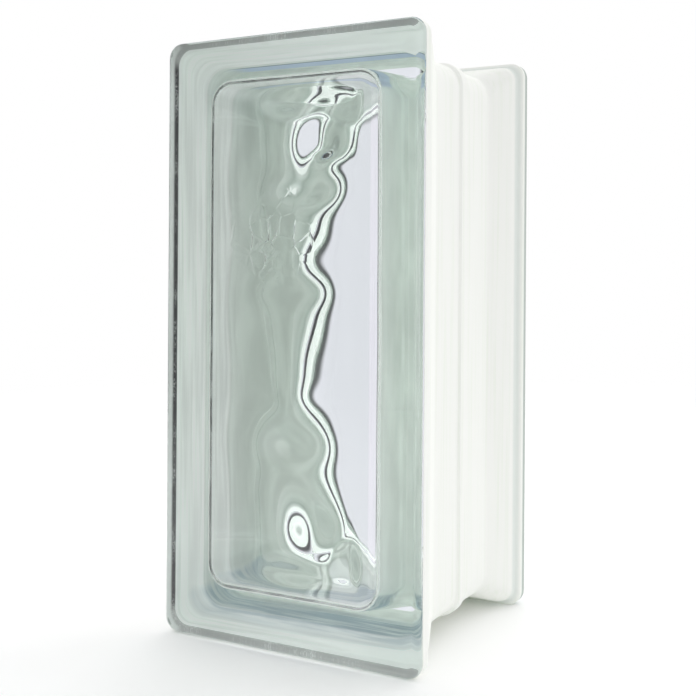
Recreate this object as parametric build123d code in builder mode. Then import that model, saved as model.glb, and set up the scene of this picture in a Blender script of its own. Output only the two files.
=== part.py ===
from build123d import *
import os
from math import cos, exp, pi, radians, tan

# A pressed glass half block for a glazed wall, standing on one end.
# The origin is at the middle of its foot, the front face looks towards -Y, and +Z is up.
# Distances called depth run inward from a face, and drops run inward from the lip's outline.

# Overall block
face_width = 94.0
face_height = 190.0
block_depth = 80.0
face_corner_radius = 5.0
face_edge_radius = 2.5

# Mortar key, the same on all four sides and behind both faces
lip_depth = 5.0
lip_step = 2.0
step_run = 1.0
shoulder_depth = 10.0
shoulder_draft = 8.5
groove_depth = 21.0
groove_drop = 7.0
groove_corner_radius = 8.0
shoulder_round = 4.0
groove_round = 6.0

# Fused seam round the middle
seam_width = 4.0
seam_height = 0.8
seam_chamfer = 0.5

# Sealed hollow between the two panes
pane_thickness = 3.8
window_side_margin = 15.5
window_end_margin = 14.4
window_rise = 1.5
window_corner_radius = 8.0
window_edge_radius = 3.0
seam_wall = 5.0

# Pressed waves on the inside of each pane: swells of glass above and hollows below its level.
# Each row is a swell's place across and up, its half-width and half-height, and its height.
# Places and half-sizes are shares of the hollow's width and height, heights are of wave_height.
wave_height = 3.0
wave_fade = 7.0
wave_pitch = 4.0
wave_overrun = 4.0
wave_swell_shares = (
    (0.16, 0.364, 0.13, 0.054, 1.1),
    (0.24, 0.440, 0.14, 0.040, 0.70),
    (0.00, 0.455, 0.16, 0.034, 0.60),
    (0.20, 0.326, 0.09, 0.022, -0.36),
    (0.06, 0.275, 0.16, 0.028, 0.85),
    (0.00, 0.145, 0.16, 0.040, -0.45),
    (0.00, 0.085, 0.16, 0.026, 0.40),
    (0.00, -0.060, 0.16, 0.075, -0.40),
    (0.00, -0.115, 0.16, 0.030, -0.32),
    (0.00, -0.205, 0.16, 0.036, 0.75),
    (0.02, -0.290, 0.16, 0.040, 0.32),
    (0.12, -0.360, 0.15, 0.054, 0.92),
    (0.33, -0.420, 0.14, 0.040, 0.40),
    (0.02, -0.455, 0.16, 0.035, 0.50),
    (0.36, 0.00, 0.20, 0.300, 0.12),
    (-0.30, 0.30, 0.14, 0.070, 0.12),
    (-0.26, 0.05, 0.14, 0.080, 0.15),
    (-0.30, -0.20, 0.14, 0.070, 0.12),
)

# White coat in the mortar key, from lip to lip
coat_thickness = 0.4

# How near an edge lies to the section that it is picked by
pick_reach = 0.01

half_depth = block_depth / 2
middle_height = face_height / 2
hollow_width = face_width - 2 * window_side_margin
hollow_height = face_height - 2 * window_end_margin
seam_drop = groove_drop + seam_wall
step_foot_depth = lip_depth + step_run


def section_plane(depth):
    """The upright plane at a depth behind the front face, looking out through that face."""
    return Plane(origin=(0, depth - half_depth, middle_height), x_dir=(1, 0, 0), z_dir=(0, -1, 0))


def section(drop, radius):
    """A rounded section of the block, a drop inside the lip's outline."""
    RectangleRounded(face_width - 2 * drop, face_height - 2 * drop, radius)


def round_crease(form, depth, radius):
    """Round the edges of a form that lie at a depth behind the front face."""
    place = depth - half_depth
    crease = form.edges().filter_by_position(Axis.Y, place - pick_reach, place + pick_reach)
    fillet(crease, radius)


def shoulder_drop(depth):
    """The drop of the drafted shoulder between the lip's step and the groove."""
    return lip_step + (depth - step_foot_depth) * tan(radians(shoulder_draft))


def both_halves():
    """Where the two like halves stand: the front one, and the rear one turned over end for end."""
    return Locations(Location((0, 0, 0)), Location((0, 0, face_height), (180, 0, 0)))


def half_block(coat):
    """The front half of the solid block, with a coat of the given thickness in its mortar key."""
    lip_back = lip_depth + coat
    step_foot = step_foot_depth + coat
    key_sections = (
        (lip_back, 0, face_corner_radius),
        (step_foot, shoulder_drop(step_foot) - coat, face_corner_radius),
        (shoulder_depth, shoulder_drop(shoulder_depth) - coat, face_corner_radius),
        (groove_depth, groove_drop - coat, groove_corner_radius),
        (half_depth, groove_drop - coat, groove_corner_radius),
    )
    with BuildPart() as half:
        with BuildSketch(section_plane(0)):
            section(0, face_corner_radius)
        extrude(amount=-lip_back)
        for depth, drop, radius in key_sections:
            with BuildSketch(section_plane(depth)):
                section(drop, radius)
        loft(ruled=True)
        round_crease(half, groove_depth, groove_round)
        round_crease(half, shoulder_depth, shoulder_round)
        round_crease(half, 0, face_edge_radius)
    return half.part


def seam_bead(coat):
    """A slab that stands out of the mortar key as the bead of the fused seam."""
    bead_width = seam_width + 2 * coat
    with BuildPart() as bead:
        with BuildSketch(section_plane(half_depth - bead_width / 2)):
            section(groove_drop - seam_height - coat, groove_corner_radius)
        extrude(amount=-bead_width)
        chamfer(bead.edges().group_by(Axis.Y)[0], seam_chamfer)
        chamfer(bead.edges().group_by(Axis.Y)[-1], seam_chamfer)
    return bead.part


def solid_block(coat):
    """The whole block without its hollow: two halves, face to face, and their seam."""
    with BuildPart() as block:
        with both_halves():
            add(half_block(coat))
        add(seam_bead(coat))
    return block.part


def wave_level(across, up):
    """How far a pane stands in from its level at a place on it, measured from its middle."""
    edge_gap = min(hollow_width / 2 - abs(across), hollow_height / 2 - abs(up)) - window_edge_radius
    fade = (1 - cos(pi * min(max(edge_gap / wave_fade, 0), 1))) / 2
    level = 0
    for across_share, up_share, width_share, height_share, swell_share in wave_swell_shares:
        sideways = (across / hollow_width - across_share) / width_share
        upright = (up / hollow_height - up_share) / height_share
        level += swell_share * exp(-(sideways**2) - upright**2)
    return wave_height * fade * level


def wave_face():
    """The wavy inner face of the front pane, reaching past the hollow all round."""
    columns = round((hollow_width + 2 * wave_overrun) / wave_pitch)
    rows = round((hollow_height + 2 * wave_overrun) / wave_pitch)
    grid = []
    for row in range(rows + 1):
        up = (row / rows - 1 / 2) * (hollow_height + 2 * wave_overrun)
        line = []
        for column in range(columns + 1):
            across = (column / columns - 1 / 2) * (hollow_width + 2 * wave_overrun)
            inward = pane_thickness + wave_level(across, up) - half_depth
            line.append((across, inward, up + middle_height + window_rise))
        grid.append(line)
    return Face.make_surface_from_array_of_points(grid)


# Hollow of one half, from its wavy pane to the seam
with BuildPart() as half_hollow:
    with BuildSketch(section_plane(pane_thickness - wave_height)):
        with Locations((0, window_rise)):
            RectangleRounded(hollow_width, hollow_height, window_corner_radius)
    with BuildSketch(section_plane(half_depth)):
        section(seam_drop, window_corner_radius)
    loft(ruled=True)
    split(bisect_by=wave_face(), keep=Keep.TOP)
    fillet(half_hollow.faces().sort_by(Axis.Y)[0].edges(), window_edge_radius)

# Hollow block: two like pressings, face to face and fused at the seam
with BuildPart() as glass_block:
    add(solid_block(0))
    with both_halves():
        add(half_hollow.part, mode=Mode.SUBTRACT)
glass_block.part.label = "glass_block"

# Coat: what the coated outline has outside the bare glass
with BuildPart() as edge_coating:
    add(solid_block(coat_thickness))
    add(solid_block(0), mode=Mode.SUBTRACT)
edge_coating.part.label = "edge_coating"

os.makedirs("parts", exist_ok=True)
export_step(glass_block.part, "parts/glass_block.step")
export_step(edge_coating.part, "parts/edge_coating.step")
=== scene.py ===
import math

import bpy
from mathutils import Matrix, Vector, noise

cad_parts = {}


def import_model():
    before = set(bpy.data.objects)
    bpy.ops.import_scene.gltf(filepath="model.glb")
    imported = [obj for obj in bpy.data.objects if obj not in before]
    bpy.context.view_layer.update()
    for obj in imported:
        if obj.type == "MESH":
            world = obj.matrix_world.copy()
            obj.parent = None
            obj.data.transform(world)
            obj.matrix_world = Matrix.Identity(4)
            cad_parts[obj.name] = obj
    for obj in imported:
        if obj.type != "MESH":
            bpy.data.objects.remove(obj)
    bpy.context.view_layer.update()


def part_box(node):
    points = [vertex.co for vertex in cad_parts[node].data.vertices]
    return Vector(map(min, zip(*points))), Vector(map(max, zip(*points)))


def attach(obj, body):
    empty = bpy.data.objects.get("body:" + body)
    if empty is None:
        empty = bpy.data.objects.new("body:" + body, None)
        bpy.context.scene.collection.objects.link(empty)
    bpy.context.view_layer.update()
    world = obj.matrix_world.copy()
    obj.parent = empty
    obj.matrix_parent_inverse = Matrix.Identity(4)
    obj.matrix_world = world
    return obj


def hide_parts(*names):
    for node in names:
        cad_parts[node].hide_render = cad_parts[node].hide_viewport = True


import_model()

# A pressed glass half block, in metres. The front face looks towards -Y, and +Z is up.
# A place along Y counts from the block's middle.
# A depth runs inward from a face, and a drop runs inward from the lip's outline.

# Block, as in the part
(LOW_X, FRONT_Y, FOOT_Z), (HIGH_X, REAR_Y, TOP_Z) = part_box("glass_block")
FACE_WIDTH = HIGH_X - LOW_X
FACE_HEIGHT = TOP_Z - FOOT_Z
HALF_DEPTH = (REAR_Y - FRONT_Y) / 2
MIDDLE_HEIGHT = (TOP_Z + FOOT_Z) / 2
FACE_CORNER_RADIUS = 0.005
FACE_EDGE_RADIUS = 0.0025
FACE_EDGE_LAND = 0.0015

# Mortar key, as in the part, with the small rounds of a pressing
LIP_DEPTH = 0.005
LIP_STEP = 0.002
STEP_RUN = 0.001
SHOULDER_DEPTH = 0.010
SHOULDER_DRAFT = math.radians(8.5)
GROOVE_DEPTH = 0.021
GROOVE_DROP = 0.007
GROOVE_CORNER_RADIUS = 0.008
SEAM_WIDTH = 0.004
SEAM_HEIGHT = 0.0008
LIP_BACK_ROUND = 0.0006
STEP_FOOT_ROUND = 0.0008
SHOULDER_ROUND = 0.004
GROOVE_ROUND = 0.006
SEAM_ROUND = 0.0006

# Coat: it thins out over the lip and ends raggedly on the rounded edge of each face
COAT_THICKNESS = 0.0004
COAT_SEAT = 0.00005
LIP_COAT = 0.0002
COAT_EDGE_TURN = math.radians(78)
COAT_EDGE_WANDER = math.radians(1)
RAGGED_RATE = 160.0
RAGGED_FINE_RATE = 368.0
RAGGED_FINE_SHARE = 0.5

# Hollow, as in the part, with an edge that wanders a little, the same way at each run
PANE_THICKNESS = 0.0038
WINDOW_SIDE_MARGIN = 0.0155
WINDOW_END_MARGIN = 0.0144
WINDOW_RISE = 0.0015
WINDOW_CORNER_RADIUS = 0.008
WINDOW_EDGE_RADIUS = 0.003
WINDOW_WANDER = 0.0002
WINDOW_WANDER_RATE = 45.0
WINDOW_WANDER_SEED = 1
SEAM_WALL = 0.005
HOLLOW_WIDTH = FACE_WIDTH - 2 * WINDOW_SIDE_MARGIN
HOLLOW_HEIGHT = FACE_HEIGHT - 2 * WINDOW_END_MARGIN
SEAM_DROP = GROOVE_DROP + SEAM_WALL

# Waves on the inside of each pane, as in the part.
# Each row is a swell's place across and up, its half-width and half-height, and its height.
# Places and half-sizes are shares of the hollow's width and height, heights are of WAVE_HEIGHT.
WAVE_HEIGHT = 0.003
WAVE_FADE = 0.007
WAVE_SWELL_SHARES = (
    (0.16, 0.364, 0.13, 0.054, 1.1),
    (0.24, 0.440, 0.14, 0.040, 0.70),
    (0.00, 0.455, 0.16, 0.034, 0.60),
    (0.20, 0.326, 0.09, 0.022, -0.36),
    (0.06, 0.275, 0.16, 0.028, 0.85),
    (0.00, 0.145, 0.16, 0.040, -0.45),
    (0.00, 0.085, 0.16, 0.026, 0.40),
    (0.00, -0.060, 0.16, 0.075, -0.40),
    (0.00, -0.115, 0.16, 0.030, -0.32),
    (0.00, -0.205, 0.16, 0.036, 0.75),
    (0.02, -0.290, 0.16, 0.040, 0.32),
    (0.12, -0.360, 0.15, 0.054, 0.92),
    (0.33, -0.420, 0.14, 0.040, 0.40),
    (0.02, -0.455, 0.16, 0.035, 0.50),
    (0.36, 0.00, 0.20, 0.300, 0.12),
    (-0.30, 0.30, 0.14, 0.070, 0.12),
    (-0.26, 0.05, 0.14, 0.080, 0.15),
    (-0.30, -0.20, 0.14, 0.070, 0.12),
)

# Mesh counts
COLUMNS = 72
ROWS = 168
ARC_ROWS = 8
ARC_STEPS = 6
FILLET_STEPS = 12
RIM_STEPS = 4

# Material slots of the glass body
CLEAR_SLOT = 0
COATED_SLOT = 1
PANE_SLOT = 2

# Detail of the soft random values
PLAIN_DETAIL = 1.0
SOFT_DETAIL = 2.0
FINE_DETAIL = 3.0
RUN_DETAIL = 5.0

# Glass
GLASS_INDEX = 1.52
CLEAR_COLOUR = (1.0, 1.0, 1.0, 1)
TINT_COLOUR = (0.62, 0.84, 0.70, 1)
TINT_DENSITY = 1.5

# Fine relief inside the panes: a soft ripple, and creases round one place on the front pane.
# Four places are where a thing starts, is full, is still full and ends, going back from the front.
RIPPLE_RATE = (110.0, 110.0, 60.0)
RIPPLE_HEIGHT = 0.00003
CREASE_CENTRE = (-0.0078, -0.0362, 0.1268)
CREASE_REACH = 0.019
CREASE_RATE = 170.0
CREASE_WARP_RATE = 85.0
CREASE_WARP = 0.006
CREASE_WIDTH_SHARE = 0.10
CREASE_HEIGHT = 0.00018
PANE_PLACES = (-0.0375, -0.0370, -0.0310, -0.0300)

# Coat seen through the glass, from the front face back: a place and the colour there. These are the coat's
# colour with painted light and shade: painted shade greys the groove and darkens the rear slope most, and
# painted light brightens the band over the seam and the rear lip.
UNDERCOAT_AND_PAINTED_LIGHT_BANDS = (
    (-0.0365, (0.93, 0.95, 0.94, 1)),
    (-0.0330, (0.95, 0.97, 0.96, 1)),
    (-0.0300, (0.90, 0.93, 0.91, 1)),
    (-0.0197, (0.93, 0.95, 0.94, 1)),
    (-0.0192, (0.98, 0.98, 0.97, 1)),
    (-0.0185, (0.86, 0.89, 0.87, 1)),
    (-0.0090, (0.75, 0.79, 0.76, 1)),
    (-0.0035, (0.73, 0.77, 0.74, 1)),
    (-0.0025, (0.79, 0.83, 0.80, 1)),
    (0.0025, (0.79, 0.83, 0.80, 1)),
    (0.0035, (0.73, 0.77, 0.74, 1)),
    (0.0190, (0.71, 0.75, 0.72, 1)),
    (0.0310, (0.60, 0.65, 0.62, 1)),
    (0.0335, (0.97, 0.98, 0.98, 1)),
)
UNDERCOAT_STREAK_RATE = (24.0, 500.0, 24.0)
UNDERCOAT_CLOUD_RATE = (70.0, 110.0, 45.0)
UNDERCOAT_CLOUD_SPAN = (0.3, 0.7)
UNDERCOAT_TONE_SHARE = 0.09
# Painted light: how much lighter the coat is made on the right, where the light falls from
RIGHT_PAINTED_LIGHT_SHARE = 1.12

# Painted light: a glow on the coat's inner side, standing in for light that soaks through the thin coat, at
# the rear lip and on the front step and slope
PAINTED_LIP_GLOW_SPAN = (0.0342, 0.0350)
PAINTED_LIP_GLOW = 0.36
PAINTED_FRONT_GLOW_PLACES = (-0.0354, -0.0352, -0.0200, -0.0185)
PAINTED_FRONT_GLOW = 0.06

# Painted reflections on the coat seen through the glass: a slate-blue painted reflection in wisps in the
# lower key, and a paler painted reflection stripe with a painted shade line before it in the upper key
PAINTED_REFLECTION_FULL = 0.010
PAINTED_REFLECTION_REACH = 0.014
PAINTED_REFLECTION_RATE = (45.0, 420.0, 45.0)
PAINTED_REFLECTION_SPAN = (0.35, 0.6)
PAINTED_REFLECTION_LEAST_SHARE = 0.35
PAINTED_REFLECTION_MOST_SHARE = 0.8
LOW_PAINTED_REFLECTION_PLACES = (-0.0290, -0.0170, -0.0020, 0.0050)
LOW_PAINTED_REFLECTION_COLOUR = (0.30, 0.40, 0.47, 1)
HIGH_PAINTED_REFLECTION_PLACES = (-0.0150, -0.0142, -0.0050, -0.0040)
HIGH_PAINTED_REFLECTION_COLOUR = (0.64, 0.72, 0.86, 1)
HIGH_PAINTED_SHADE_LINE_PLACES = (-0.0152, -0.0148, -0.0142, -0.0138)
HIGH_PAINTED_SHADE_LINE_COLOUR = (0.16, 0.22, 0.28, 1)
HIGH_PAINTED_REFLECTION_SPAN = (-0.036, -0.026)

# Painted shade: near-black lines on the front lip's step, in patches, and on the side of the front lip
PAINTED_SHADE_STEP_PLACES = (-0.0348, -0.0344, -0.0337, -0.0333)
PAINTED_SHADE_LIP_PLACES = (-0.0380, -0.0377, -0.0354, -0.0351)
PAINTED_SHADE_COLOUR = (0.012, 0.016, 0.018, 1)
PAINTED_SHADE_SPECK_RATE = (2200.0, 2200.0, 2200.0)
PAINTED_SHADE_PATCH_RATE = (90.0, 90.0, 90.0)
PAINTED_SHADE_STEP_SPAN = (0.62, 1.02)
PAINTED_SHADE_STEP_LEAST_SHARE = 0.45
PAINTED_SHADE_LIP_SPAN = (0.40, 0.55)
PAINTED_SHADE_LIP_LEAST_SHARE = 0.4
PAINTED_SHADE_END_GAP = 0.0045
PAINTED_SHADE_END_SHARE = 0.5

# Outside of the coat: faint runs, a spray grain, a greyer band on the rear step that is partly thinner coat
# and partly painted shade, and a grey-green band where the coat ends on the rear lip
COAT_ROUGHNESS = 0.6
COAT_COLOUR = (0.93, 0.94, 0.91, 1)
COAT_STREAK_COLOUR = (0.88, 0.91, 0.85, 1)
COAT_STREAK_RATE = (700.0, 700.0, 14.0)
COAT_STREAK_SPAN = (0.45, 0.75)
COAT_SPRAY_RATE = (2600.0, 2600.0, 2600.0)
COAT_SPRAY_HEIGHT = 0.00006
THIN_COAT_AND_SHADE_PLACES = (0.0310, 0.0325, 0.0338, 0.0346)
THIN_COAT_AND_SHADE_COLOUR = (0.80, 0.84, 0.81, 1)
REAR_END_GREY_SPAN = (0.0357, 0.0364)
REAR_END_GREY_COLOUR = (0.50, 0.55, 0.52, 1)

# Floor
FLOOR_SIZE = 0.8
FLOOR_FADE = 0.12
FLOOR_COLOUR = (0.98, 0.98, 0.98, 1)
FLOOR_ROUGHNESS = 0.9

# Soft light, brighter overhead and from behind
UPWARD = (0, 0, 1)
LIGHT_COLOUR = (1.0, 1.0, 1.0, 1)
HORIZON_LIGHT = 0.62
OVERHEAD_LIGHT = 1.0
LIGHT_DIRECTION = (0, 1, 0)
LIGHT_SPAN = (0.0, 0.9)
LIGHT_GAIN = 2.2

# White backdrop, and the surroundings that show in the glass: dim to both sides and higher up
BACKDROP_COLOUR = (1.0, 1.0, 1.0, 1)
BACKDROP_LIGHT = 1.0
SEEN_COLOUR = (0.86, 0.86, 0.93, 1)
DIM_DIRECTION = (-0.95, -0.3, 0)
DIM_SPAN = (0.42, 0.68)
DIM_OTHER_DIRECTION = (0.95, 0.3, 0)
DIM_OTHER_SPAN = (0.5, 0.8)
DIM_SHARE = 0.08
HIGH_SPAN = (0.25, 0.8)
HIGH_SHARE = 0.4
SCATTER_LIMIT = 0.5

# Light paths through the glass
ALL_BOUNCES = 48
DIFFUSE_BOUNCES = 24
GLOSSY_BOUNCES = 24
GLASS_BOUNCES = 32

# Camera, from the photograph
PHOTO_SIZE = 696
FOCAL_PIXELS = 1011.1
CENTRE_PIXEL = (460.0, 271.0)
CAMERA_PLACE = (0.1816, -0.2926, 0.1171)
CAMERA_YAW = math.radians(25.89)
CAMERA_ROLL = math.radians(-0.374)
SENSOR_WIDTH = 36.0
NEAR_CLIP = 0.01


def outline_rows(width, height, radius):
    """Height and half-width of each row of points across a rounded rectangle."""
    rows = []
    for row in range(ROWS + 1):
        from_end = min(row, ROWS - row)
        if from_end <= ARC_ROWS:
            turn = math.pi / 2 * from_end / ARC_ROWS
            up = height / 2 - radius + radius * math.cos(turn)
            half = width / 2 - radius + radius * math.sin(turn)
        else:
            straight = (from_end - ARC_ROWS) / (ROWS / 2 - ARC_ROWS)
            up = (height / 2 - radius) * (1 - straight)
            half = width / 2
        rows.append((up if row > ROWS / 2 else -up, half))
    return rows


def ring_places():
    """Grid places (column, row) in order round the edge of the grid."""
    bottom = [(column, 0) for column in range(COLUMNS)]
    right = [(COLUMNS, row) for row in range(ROWS)]
    top = [(COLUMNS - column, ROWS) for column in range(COLUMNS)]
    left = [(0, ROWS - row) for row in range(ROWS)]
    return bottom + right + top + left


RING = ring_places()
TURNED_RING = [RING.index((column, ROWS - row)) for column, row in RING]


def placed(across, depth, up, turned):
    """A place behind a face. The rear half is the front one turned over, end for end."""
    side = -1 if turned else 1
    return Vector((across, side * (depth - HALF_DEPTH), side * up + MIDDLE_HEIGHT))


def ring(width, height, radius, depth, turned, rise=0):
    """Points round a rounded rectangle at a depth behind a face, and a rise above its middle."""
    rows = outline_rows(width, height, radius)
    points = []
    for column, row in RING:
        up, half = rows[row]
        points.append(placed((2 * column / COLUMNS - 1) * half, depth, up + rise, turned))
    return points


def edge_ring(depth, drop, turned):
    """Points round the block at a place on its edge profile."""
    if depth < FACE_EDGE_RADIUS:
        radius = max(FACE_CORNER_RADIUS - drop, FACE_EDGE_LAND)
    else:
        share = min(max((depth - SHOULDER_DEPTH) / (GROOVE_DEPTH - SHOULDER_DEPTH), 0), 1)
        radius = FACE_CORNER_RADIUS + share * (GROOVE_CORNER_RADIUS - FACE_CORNER_RADIUS)
    return ring(FACE_WIDTH - 2 * drop, FACE_HEIGHT - 2 * drop, radius, depth, turned)


def rim_place(turn, inset):
    """Depth and drop at an angle round a face's rounded edge, or under a coat on it."""
    reach = FACE_EDGE_RADIUS - inset
    return FACE_EDGE_RADIUS - reach * math.cos(turn), FACE_EDGE_RADIUS - reach * math.sin(turn)


def ragged_ring(inset, turned):
    """Points round a face's rounded edge where the coat ends, wandering along it."""
    first = edge_ring(*rim_place(COAT_EDGE_TURN - COAT_EDGE_WANDER, inset), turned)
    last = edge_ring(*rim_place(COAT_EDGE_TURN + COAT_EDGE_WANDER, inset), turned)
    points = []
    for start, end in zip(first, last):
        rough = noise.noise(end * RAGGED_RATE) + RAGGED_FINE_SHARE * noise.noise(end * RAGGED_FINE_RATE)
        points.append(start.lerp(end, min(max((1 + rough) / 2, 0), 1)))
    return points


def rounded_profile(corners):
    """A line through (depth, drop, round) corners, with each corner rounded by an arc."""
    points = []
    for index, (depth, drop, radius) in enumerate(corners):
        here = Vector((depth, drop))
        if index in (0, len(corners) - 1):
            points.append(here)
            continue
        before = (Vector(corners[index - 1][:2]) - here).normalized()
        after = (Vector(corners[index + 1][:2]) - here).normalized()
        half_angle = before.angle(after) / 2
        reach = radius / math.tan(half_angle)
        centre = here + (before + after).normalized() * radius / math.sin(half_angle)
        start = here + before * reach - centre
        turn = start.angle_signed(here + after * reach - centre)
        for step in range(ARC_STEPS + 1):
            spun = start.copy()
            spun.rotate(Matrix.Rotation(-turn * step / ARC_STEPS, 2))
            points.append(centre + spun)
    return points


def coated_profile(coat, inset):
    """The edge profile from the end of a face's rounding to the seam, under or over a coat."""
    shoulder_slope = math.tan(SHOULDER_DRAFT)
    foot_drop = LIP_STEP + coat * shoulder_slope - coat
    shoulder_drop = LIP_STEP + (SHOULDER_DEPTH - LIP_DEPTH - STEP_RUN) * shoulder_slope - coat
    floor_drop = GROOVE_DROP - coat
    bead_front = HALF_DEPTH - SEAM_WIDTH / 2 - coat
    rest = math.pi / 2 - COAT_EDGE_TURN - COAT_EDGE_WANDER
    rim = []
    for step in range(1, RIM_STEPS):
        rim.append(Vector(rim_place(math.pi / 2 - rest * (1 - step / RIM_STEPS), inset)))
    return rim + rounded_profile([
        (*rim_place(math.pi / 2, inset), 0),
        (LIP_DEPTH + coat, inset, LIP_BACK_ROUND),
        (LIP_DEPTH + STEP_RUN + coat, foot_drop, STEP_FOOT_ROUND),
        (SHOULDER_DEPTH, shoulder_drop, SHOULDER_ROUND),
        (GROOVE_DEPTH, floor_drop, GROOVE_ROUND),
        (bead_front - SEAM_HEIGHT / 2, floor_drop, SEAM_ROUND),
        (bead_front + SEAM_HEIGHT / 2, floor_drop - SEAM_HEIGHT, SEAM_ROUND),
        (HALF_DEPTH, floor_drop - SEAM_HEIGHT, 0),
    ])


def wave_level(across, up):
    """How far a pane stands in from its level at a place on it, measured from its middle."""
    edge_gap = min(HOLLOW_WIDTH / 2 - abs(across), HOLLOW_HEIGHT / 2 - abs(up)) - WINDOW_EDGE_RADIUS
    fade = (1 - math.cos(math.pi * min(max(edge_gap / WAVE_FADE, 0), 1))) / 2
    level = 0
    for across_share, up_share, width_share, height_share, swell_share in WAVE_SWELL_SHARES:
        sideways = (across / HOLLOW_WIDTH - across_share) / width_share
        upright = (up / HOLLOW_HEIGHT - up_share) / height_share
        level += swell_share * math.exp(-(sideways**2) - upright**2)
    return WAVE_HEIGHT * fade * level


def wandered(point, share):
    """A point of the window's edge, moved a little sideways and upright as hot glass settles."""
    drift = noise.noise_vector(point * WINDOW_WANDER_RATE)
    return point + Vector((drift.x, 0, drift.z)) * WINDOW_WANDER * share


class Shell:
    """Points and faces of a mesh that is built ring by ring."""

    def __init__(self):
        self.points = []
        self.faces = []
        self.slots = []

    def add_points(self, points):
        """Add points, and return their numbers."""
        start = len(self.points)
        self.points.extend(points)
        return list(range(start, len(self.points)))

    def add_face(self, indexes, slot=0):
        """Add a face with its material slot."""
        self.faces.append(tuple(indexes))
        self.slots.append(slot)

    def bridge(self, first, second, slot=0):
        """Quads between two rings."""
        for here in range(len(first)):
            there = (here + 1) % len(first)
            self.add_face((first[here], second[here], second[there], first[there]), slot)

    def make(self, name, materials):
        """The smooth mesh as an object, with a material for each slot."""
        mesh = bpy.data.meshes.new(name)
        mesh.from_pydata(self.points, [], self.faces)
        mesh.validate()
        mesh.update()
        mesh.shade_smooth()
        for material in materials:
            mesh.materials.append(material)
        mesh.polygons.foreach_set("material_index", self.slots)
        piece = bpy.data.objects.new(name, mesh)
        bpy.context.scene.collection.objects.link(piece)
        return piece


def outer_half(shell, turned, seam):
    """Face, rim and mortar key of one half, down to a seam ring. Returns that ring, new if none is given."""
    bare = [edge_ring(0, FACE_EDGE_RADIUS + FACE_EDGE_LAND, turned)]
    for step in range(RIM_STEPS + 1):
        turn = (COAT_EDGE_TURN - COAT_EDGE_WANDER) * step / (RIM_STEPS + 1)
        bare.append(edge_ring(*rim_place(turn, 0), turned))
    bare.append(ragged_ring(0, turned))
    under = [ragged_ring(LIP_COAT, turned)]
    under += [edge_ring(*place, turned) for place in coated_profile(0, LIP_COAT)]
    if seam:
        under.pop()
    rings = [shell.add_points(points) for points in bare + under]
    if seam:
        rings.append(seam)
    shell.add_face(rings[0])
    for index in range(1, len(rings)):
        shell.bridge(rings[index - 1], rings[index], COATED_SLOT if index >= len(bare) else CLEAR_SLOT)
    return rings[-1]


def inner_half(shell, turned, seam):
    """Pane, its edge and the hollow's wall, down to a seam ring. Returns that ring, new if none is given."""
    level_width = HOLLOW_WIDTH - 2 * WINDOW_EDGE_RADIUS
    level_height = HOLLOW_HEIGHT - 2 * WINDOW_EDGE_RADIUS
    level_radius = WINDOW_CORNER_RADIUS - WINDOW_EDGE_RADIUS
    grid = []
    for up, half in outline_rows(level_width, level_height, level_radius):
        line = []
        for column in range(COLUMNS + 1):
            across = (2 * column / COLUMNS - 1) * half
            depth = PANE_THICKNESS + wave_level(across, up)
            line.append(placed(across, depth, up + WINDOW_RISE, turned))
        grid.append(shell.add_points(line))
    for low, high in zip(grid, grid[1:]):
        for column in range(COLUMNS):
            shell.add_face((low[column], high[column], high[column + 1], low[column + 1]), PANE_SLOT)
    last = [grid[row][column] for column, row in RING]
    for step in range(1, FILLET_STEPS + 1):
        turn = math.pi / 2 * step / FILLET_STEPS
        gain = WINDOW_EDGE_RADIUS * math.sin(turn)
        depth = PANE_THICKNESS + WINDOW_EDGE_RADIUS * (1 - math.cos(turn))
        width, height = level_width + 2 * gain, level_height + 2 * gain
        points = ring(width, height, level_radius + gain, depth, turned, WINDOW_RISE)
        this = shell.add_points([wandered(point, step / FILLET_STEPS) for point in points])
        shell.bridge(this, last)
        last = this
    if not seam:
        width, height = FACE_WIDTH - 2 * SEAM_DROP, FACE_HEIGHT - 2 * SEAM_DROP
        seam = shell.add_points(ring(width, height, WINDOW_CORNER_RADIUS, HALF_DEPTH, turned))
    shell.bridge(seam, last)
    return seam


def both_halves(shell, half):
    """Build a half, then the other half on the same seam."""
    seam = half(shell, False, None)
    half(shell, True, [seam[place] for place in TURNED_RING])


def glass_piece():
    """The hollow glass body."""
    noise.seed_set(WINDOW_WANDER_SEED)
    shell = Shell()
    both_halves(shell, outer_half)
    both_halves(shell, inner_half)
    clear = glass_material("clear_pressed_glass", False)
    wavy = glass_material("clear_wavy_pane", True)
    piece = shell.make("glass_block_clear", (clear, coat_under_glass(), wavy))
    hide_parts("glass_block")
    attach(piece, "root")


def coat_half(shell, turned, seams):
    """The coat's outer and inner skin on one half, and its ragged end. Returns the two seam rings."""
    skins = []
    for skin, (coat, inset) in enumerate(((COAT_THICKNESS, 0), (COAT_SEAT, LIP_COAT - COAT_SEAT))):
        lines = [ragged_ring(inset, turned)]
        lines += [edge_ring(*place, turned) for place in coated_profile(coat, inset)]
        if seams:
            lines.pop()
        rings = [shell.add_points(points) for points in lines]
        if seams:
            rings.append(seams[skin])
        skins.append(rings)
    outer, inner = skins
    for index in range(1, len(outer)):
        shell.bridge(outer[index - 1], outer[index])
        shell.bridge(inner[index], inner[index - 1])
    shell.bridge(inner[0], outer[0])
    return outer[-1], inner[-1]


def coat_piece():
    """The white coat, from face to face."""
    shell = Shell()
    seams = coat_half(shell, False, None)
    coat_half(shell, True, [[seam[place] for place in TURNED_RING] for seam in seams])
    piece = shell.make("edge_coating_white", (coat_material(),))
    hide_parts("edge_coating")
    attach(piece, "root")


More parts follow.
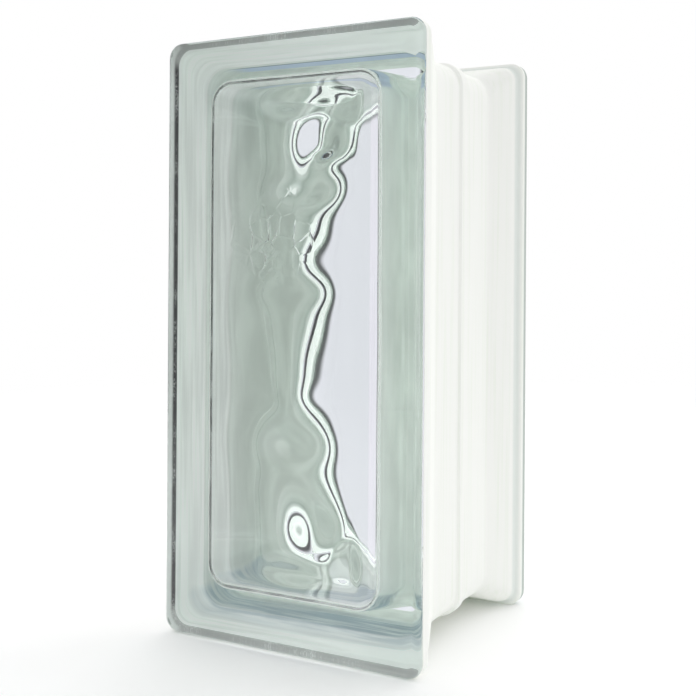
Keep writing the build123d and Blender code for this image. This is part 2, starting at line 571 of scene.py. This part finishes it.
class Tree:
    """The nodes of a material or a world, and short ways of adding to them."""

    def __init__(self, owner):
        owner.use_nodes = True
        self.nodes = owner.node_tree.nodes
        self.links = owner.node_tree.links

    def give(self, value, socket):
        """Link a value to a socket, or set the socket to a constant."""
        if isinstance(value, bpy.types.NodeSocket):
            self.links.new(value, socket)
        else:
            socket.default_value = value

    def coordinates(self, kind="Object"):
        """Where a point is."""
        return self.nodes.new("ShaderNodeTexCoord").outputs[kind]

    def part(self, vector, axis):
        """A vector's part along one axis."""
        node = self.nodes.new("ShaderNodeSeparateXYZ")
        self.give(vector, node.inputs["Vector"])
        return node.outputs[axis]

    def number(self, operation, first, second):
        """The result of a sum on two numbers."""
        node = self.nodes.new("ShaderNodeMath")
        node.operation = operation
        self.give(first, node.inputs[0])
        self.give(second, node.inputs[1])
        return node.outputs["Value"]

    def vector(self, operation, *values):
        """The node of a sum on vectors."""
        node = self.nodes.new("ShaderNodeVectorMath")
        node.operation = operation
        for value, socket in zip(values, node.inputs):
            self.give(value, socket)
        return node

    def product(self, *values):
        """Several numbers multiplied together."""
        total = values[0]
        for value in values[1:]:
            total = self.number("MULTIPLY", total, value)
        return total

    def eased(self, value, span, first, last):
        """A number that eases from the first to the last as the value crosses a span."""
        node = self.nodes.new("ShaderNodeMapRange")
        node.interpolation_type = "SMOOTHSTEP"
        for socket, constant in zip(("From Min", "From Max", "To Min", "To Max"), (*span, first, last)):
            node.inputs[socket].default_value = constant
        self.give(value, node.inputs["Value"])
        return node.outputs["Result"]

    def between(self, value, places):
        """One between the two middle places, falling to zero at the outer ones."""
        return self.product(self.eased(value, places[:2], 0, 1), self.eased(value, places[2:], 1, 0))

    def mixed(self, factor, first, second, kind="RGBA"):
        """A colour, or a number if its kind is FLOAT, between two others."""
        node = self.nodes.new("ShaderNodeMix")
        node.data_type = kind
        self.give(factor, node.inputs["Factor"])
        self.give(first, node.inputs["A"])
        self.give(second, node.inputs["B"])
        return node.outputs["Result"]

    def bands(self, value, low, high, stops):
        """Colours along a range of values."""
        node = self.nodes.new("ShaderNodeValToRGB")
        elements = node.color_ramp.elements
        while len(elements) < len(stops):
            elements.new(1.0)
        for element, (place, colour) in zip(elements, stops):
            element.position = (place - low) / (high - low)
            element.color = colour
        share = self.nodes.new("ShaderNodeMapRange")
        share.inputs["From Min"].default_value = low
        share.inputs["From Max"].default_value = high
        self.give(value, share.inputs["Value"])
        self.give(share.outputs["Result"], node.inputs["Fac"])
        return node.outputs["Color"]

    def cloud(self, place, rate, detail):
        """Soft random values over the places, with a rate along each axis."""
        node = self.nodes.new("ShaderNodeTexNoise")
        node.inputs["Scale"].default_value = 1.0
        node.inputs["Detail"].default_value = detail
        self.give(self.vector("MULTIPLY", place, rate).outputs["Vector"], node.inputs["Vector"])
        return node.outputs["Fac"]

    def bumped(self, height, distance, normal=None):
        """The surface's normal over a relief of the given height."""
        node = self.nodes.new("ShaderNodeBump")
        node.inputs["Strength"].default_value = 1.0
        node.inputs["Distance"].default_value = distance
        self.give(height, node.inputs["Height"])
        if normal:
            self.give(normal, node.inputs["Normal"])
        return node.outputs["Normal"]


def new_material(name):
    """A new material, its tree and its surface shader."""
    material = bpy.data.materials.new(name)
    tree = Tree(material)
    return material, tree, tree.nodes["Principled BSDF"]


def creases(tree, place):
    """Thin ridges that wander round one place on the inside of the front pane."""
    away = tree.vector("DISTANCE", place, CREASE_CENTRE).outputs["Value"]
    near = tree.eased(away, (0, CREASE_REACH), 1, 0)
    warp = tree.nodes.new("ShaderNodeTexNoise")
    warp.inputs["Scale"].default_value = CREASE_WARP_RATE
    tree.give(place, warp.inputs["Vector"])
    reach = (CREASE_WARP, CREASE_WARP, CREASE_WARP)
    cells = tree.nodes.new("ShaderNodeTexVoronoi")
    cells.feature = "DISTANCE_TO_EDGE"
    cells.inputs["Scale"].default_value = CREASE_RATE
    moved = tree.vector("MULTIPLY_ADD", warp.outputs["Color"], reach, place)
    tree.give(moved.outputs["Vector"], cells.inputs["Vector"])
    ridge = tree.eased(cells.outputs["Distance"], (0, CREASE_WIDTH_SHARE), 1, 0)
    on_pane = tree.between(tree.part(place, "Y"), PANE_PLACES)
    return tree.product(ridge, near, on_pane)


def pane_relief(tree):
    """Normals inside the panes: a soft ripple all over, and creases on the front one."""
    place = tree.coordinates()
    rippled = tree.bumped(tree.cloud(place, RIPPLE_RATE, PLAIN_DETAIL), RIPPLE_HEIGHT)
    return tree.bumped(creases(tree, place), CREASE_HEIGHT, rippled)


def glass_material(name, wavy):
    """Clear pressed glass with a faint green tint through its thickness."""
    material, tree, shader = new_material(name)
    shader.inputs["Base Color"].default_value = CLEAR_COLOUR
    shader.inputs["Roughness"].default_value = 0
    shader.inputs["IOR"].default_value = GLASS_INDEX
    shader.inputs["Transmission Weight"].default_value = 1.0
    if wavy:
        tree.give(pane_relief(tree), shader.inputs["Normal"])
    absorption = tree.nodes.new("ShaderNodeVolumeAbsorption")
    absorption.inputs["Color"].default_value = TINT_COLOUR
    absorption.inputs["Density"].default_value = TINT_DENSITY
    tree.give(absorption.outputs["Volume"], tree.nodes["Material Output"].inputs["Volume"])
    return material


def undercoat_tone_and_painted_light(tree, place):
    """Bands from face to face with painted light and shade, streaky in front and cloudy behind, and lighter
    to the right as painted light.
    """
    depth = tree.part(place, "Y")
    streaks = tree.cloud(place, UNDERCOAT_STREAK_RATE, SOFT_DETAIL)
    clouds = tree.cloud(place, UNDERCOAT_CLOUD_RATE, FINE_DETAIL)
    front = tree.eased(depth, (-GROOVE_DEPTH / 2, -GROOVE_DEPTH), 0, 1)
    uneven = tree.mixed(front, clouds, streaks, "FLOAT")
    tone = tree.eased(uneven, UNDERCOAT_CLOUD_SPAN, 1 - UNDERCOAT_TONE_SHARE, 1 + UNDERCOAT_TONE_SHARE)
    # Painted light: the right side is made lighter
    right = tree.eased(tree.part(place, "X"), (-HOLLOW_WIDTH / 2, HOLLOW_WIDTH / 2), 1, RIGHT_PAINTED_LIGHT_SHARE)
    # Painted light and shade: colour bands greyed in the groove and on the rear slope, and lightened over
    # the seam and at the rear lip
    scaled = tree.vector("SCALE", tree.bands(depth, -HALF_DEPTH, HALF_DEPTH, UNDERCOAT_AND_PAINTED_LIGHT_BANDS))
    tree.give(tree.product(tone, right), scaled.inputs["Scale"])
    return scaled.outputs["Vector"]


def with_painted_reflections(tree, place, colour):
    """A colour with a painted reflection in wisps in the lower key, and a pale painted reflection stripe and
    a dark painted shade line in the upper key.
    """
    depth = tree.part(place, "Y")
    height = tree.part(place, "Z")
    low = tree.eased(height, (FOOT_Z + PAINTED_REFLECTION_FULL, FOOT_Z + PAINTED_REFLECTION_REACH), 1, 0)
    high = tree.eased(height, (TOP_Z - PAINTED_REFLECTION_REACH, TOP_Z - PAINTED_REFLECTION_FULL), 0, 1)
    along = tree.eased(tree.part(place, "X"), HIGH_PAINTED_REFLECTION_SPAN, 0, 1)
    wisps = tree.cloud(place, PAINTED_REFLECTION_RATE, FINE_DETAIL)
    wisps = tree.eased(wisps, PAINTED_REFLECTION_SPAN, PAINTED_REFLECTION_LEAST_SHARE, PAINTED_REFLECTION_MOST_SHARE)
    low_reflection = tree.product(low, tree.between(depth, LOW_PAINTED_REFLECTION_PLACES), wisps)
    # Painted reflection: slate-blue wisps in the lower key
    colour = tree.mixed(low_reflection, colour, LOW_PAINTED_REFLECTION_COLOUR)
    stripe = tree.product(high, along, tree.between(depth, HIGH_PAINTED_REFLECTION_PLACES))
    # Painted reflection: a pale stripe in the upper key
    colour = tree.mixed(stripe, colour, HIGH_PAINTED_REFLECTION_COLOUR)
    line = tree.product(high, along, tree.between(depth, HIGH_PAINTED_SHADE_LINE_PLACES))
    # Painted shade: a dark line in the upper key
    return tree.mixed(line, colour, HIGH_PAINTED_SHADE_LINE_COLOUR)


def painted_shade_lines(tree, place):
    """Painted shade lines on the front lip and its step: patches to the left, and all along to the right."""
    depth = tree.part(place, "Y")
    whole = tree.eased(tree.part(place, "X"), (0, HOLLOW_WIDTH / 2), 0, 1)
    specks = tree.cloud(place, PAINTED_SHADE_SPECK_RATE, FINE_DETAIL)
    patches = tree.cloud(place, PAINTED_SHADE_PATCH_RATE, SOFT_DETAIL)
    above_middle = tree.number("SUBTRACT", tree.part(place, "Z"), MIDDLE_HEIGHT)
    from_middle = tree.number("ABSOLUTE", above_middle, 0)
    near_end = FACE_HEIGHT / 2 - PAINTED_SHADE_END_GAP
    sides = tree.eased(from_middle, (near_end - PAINTED_SHADE_END_GAP, near_end), 1, PAINTED_SHADE_END_SHARE)
    rough = tree.eased(tree.number("ADD", specks, patches), PAINTED_SHADE_STEP_SPAN, PAINTED_SHADE_STEP_LEAST_SHARE, 1)
    rough = tree.number("MAXIMUM", rough, whole)
    # Painted shade: dark lines on the step and along the lip's side
    step = tree.product(tree.between(depth, PAINTED_SHADE_STEP_PLACES), rough, sides)
    shade_patches = tree.eased(patches, PAINTED_SHADE_LIP_SPAN, PAINTED_SHADE_LIP_LEAST_SHARE, 1)
    shade_patches = tree.number("MAXIMUM", shade_patches, whole)
    lip = tree.product(tree.between(depth, PAINTED_SHADE_LIP_PLACES), shade_patches)
    return tree.number("MAXIMUM", step, lip)


def painted_glow(tree, place):
    """Strength of the painted glow on the coat's inner side, standing in for light soaking through the coat,
    at the rear lip and the front slope.
    """
    depth = tree.part(place, "Y")
    lip = tree.eased(depth, PAINTED_LIP_GLOW_SPAN, 0, PAINTED_LIP_GLOW)
    front = tree.product(tree.between(depth, PAINTED_FRONT_GLOW_PLACES), PAINTED_FRONT_GLOW)
    return tree.number("ADD", lip, front)


def matt(shader):
    """Make a shader matt, as the coat is on both of its sides."""
    shader.inputs["Roughness"].default_value = COAT_ROUGHNESS
    shader.inputs["Specular IOR Level"].default_value = 0


def coat_under_glass():
    """The coat's inner side, seen through the glass: light at the lips and greyer in the groove as painted
    light and shade, with painted reflections, painted shade lines and a painted glow.
    """
    material, tree, shader = new_material("coat_through_glass_and_painted_light")
    place = tree.coordinates()
    # The coat's colour with painted light and shade, painted reflections and painted shade lines
    colour = with_painted_reflections(tree, place, undercoat_tone_and_painted_light(tree, place))
    # Painted shade: near-black lines mixed into the coat's colour
    tree.give(tree.mixed(painted_shade_lines(tree, place), colour, PAINTED_SHADE_COLOUR), shader.inputs["Base Color"])
    # Painted light: the coat's inner side glows in the backdrop's colour
    shader.inputs["Emission Color"].default_value = BACKDROP_COLOUR
    tree.give(painted_glow(tree, place), shader.inputs["Emission Strength"])
    material.cycles.emission_sampling = "NONE"
    matt(shader)
    return material


def coat_material():
    """Sprayed off-white coat with faint runs and a fine grain."""
    material, tree, shader = new_material("edge_coat")
    place = tree.coordinates()
    depth = tree.part(place, "Y")
    runs = tree.eased(tree.cloud(place, COAT_STREAK_RATE, RUN_DETAIL), COAT_STREAK_SPAN, 0, 1)
    colour = tree.mixed(runs, COAT_COLOUR, COAT_STREAK_COLOUR)
    # Thinner coat and painted shade: the rear step is greyer
    colour = tree.mixed(tree.between(depth, THIN_COAT_AND_SHADE_PLACES), colour, THIN_COAT_AND_SHADE_COLOUR)
    # A grey-green band where the coat ends on the rear lip
    colour = tree.mixed(tree.eased(depth, REAR_END_GREY_SPAN, 0, 1), colour, REAR_END_GREY_COLOUR)
    tree.give(colour, shader.inputs["Base Color"])
    grain = tree.cloud(place, COAT_SPRAY_RATE, SOFT_DETAIL)
    tree.give(tree.bumped(grain, COAT_SPRAY_HEIGHT), shader.inputs["Normal"])
    matt(shader)
    return material


def floor():
    """A plain pale floor that fades out into the pale surroundings."""
    size = FLOOR_SIZE
    mesh = bpy.data.meshes.new("floor")
    corners = [(-size, -size, FOOT_Z), (size, -size, FOOT_Z), (size, size, FOOT_Z), (-size, size, FOOT_Z)]
    mesh.from_pydata(corners, [], [(0, 1, 2, 3)])
    piece = bpy.data.objects.new("floor", mesh)
    bpy.context.scene.collection.objects.link(piece)
    material, tree, shader = new_material("pale_floor")
    shader.inputs["Base Color"].default_value = FLOOR_COLOUR
    shader.inputs["Roughness"].default_value = FLOOR_ROUGHNESS
    away = tree.vector("LENGTH", tree.coordinates()).outputs["Value"]
    tree.give(tree.eased(away, (FLOOR_FADE, FLOOR_SIZE), 1, 0), shader.inputs["Alpha"])
    mesh.materials.append(material)
    piece.visible_transmission = False


def background(tree, colour, strength):
    """A background of one colour."""
    node = tree.nodes.new("ShaderNodeBackground")
    node.inputs["Color"].default_value = colour
    tree.give(strength, node.inputs["Strength"])
    return node.outputs["Background"]


def chosen(tree, factor, first, second):
    """The first of two backgrounds, or the second where the factor is 1."""
    node = tree.nodes.new("ShaderNodeMixShader")
    for value, socket in zip((factor, first, second), node.inputs):
        tree.give(value, socket)
    return node.outputs["Shader"]


def facing(tree, direction, towards):
    """How far a direction looks one way."""
    return tree.vector("DOT_PRODUCT", direction, towards).outputs["Value"]


def world():
    """Soft light all round, a white backdrop, and paler and darker surroundings to show in the glass."""
    studio = bpy.data.worlds.new("studio")
    bpy.context.scene.world = studio
    tree = Tree(studio)
    direction = tree.coordinates("Generated")
    height = facing(tree, direction, UPWARD)
    sky = tree.eased(height, (0, 1), HORIZON_LIGHT, OVERHEAD_LIGHT)
    gain = tree.eased(facing(tree, direction, LIGHT_DIRECTION), LIGHT_SPAN, 1, LIGHT_GAIN)
    light = background(tree, LIGHT_COLOUR, tree.product(sky, gain))
    dim = tree.eased(facing(tree, direction, DIM_DIRECTION), DIM_SPAN, 1, DIM_SHARE)
    other_dim = tree.eased(facing(tree, direction, DIM_OTHER_DIRECTION), DIM_OTHER_SPAN, 1, DIM_SHARE)
    high = tree.eased(height, HIGH_SPAN, 1, HIGH_SHARE)
    seen = background(tree, SEEN_COLOUR, tree.product(dim, other_dim, high))
    path = tree.nodes.new("ShaderNodeLightPath").outputs
    clear = tree.number("MAXIMUM", path["Is Transmission Ray"], path["Is Glossy Ray"])
    unscattered = tree.number("LESS_THAN", path["Diffuse Depth"], SCATTER_LIMIT)
    lit = chosen(tree, tree.product(clear, unscattered), light, seen)
    whole = chosen(tree, path["Is Camera Ray"], lit, background(tree, BACKDROP_COLOUR, BACKDROP_LIGHT))
    tree.give(whole, tree.nodes["World Output"].inputs["Surface"])


def camera():
    """The photograph's view: level, with the lens shifted to frame the block."""
    data = bpy.data.cameras.new("camera")
    data.sensor_width = SENSOR_WIDTH
    data.lens = FOCAL_PIXELS / PHOTO_SIZE * SENSOR_WIDTH
    data.shift_x = (PHOTO_SIZE / 2 - CENTRE_PIXEL[0]) / PHOTO_SIZE
    data.shift_y = (CENTRE_PIXEL[1] - PHOTO_SIZE / 2) / PHOTO_SIZE
    data.clip_start = NEAR_CLIP
    view = bpy.data.objects.new("camera", data)
    view.location = CAMERA_PLACE
    view.rotation_euler = (math.pi / 2, CAMERA_ROLL, CAMERA_YAW)
    bpy.context.scene.collection.objects.link(view)
    bpy.context.scene.camera = view


def light_paths():
    """Plain colours, sharp glass, and enough bounces to see through all of its walls."""
    scene = bpy.context.scene
    scene.view_settings.view_transform = "Standard"
    scene.cycles.blur_glossy = 0
    scene.cycles.max_bounces = ALL_BOUNCES
    scene.cycles.diffuse_bounces = DIFFUSE_BOUNCES
    scene.cycles.glossy_bounces = GLOSSY_BOUNCES
    scene.cycles.transmission_bounces = GLASS_BOUNCES


glass_piece()
coat_piece()
floor()
world()
camera()
light_paths()
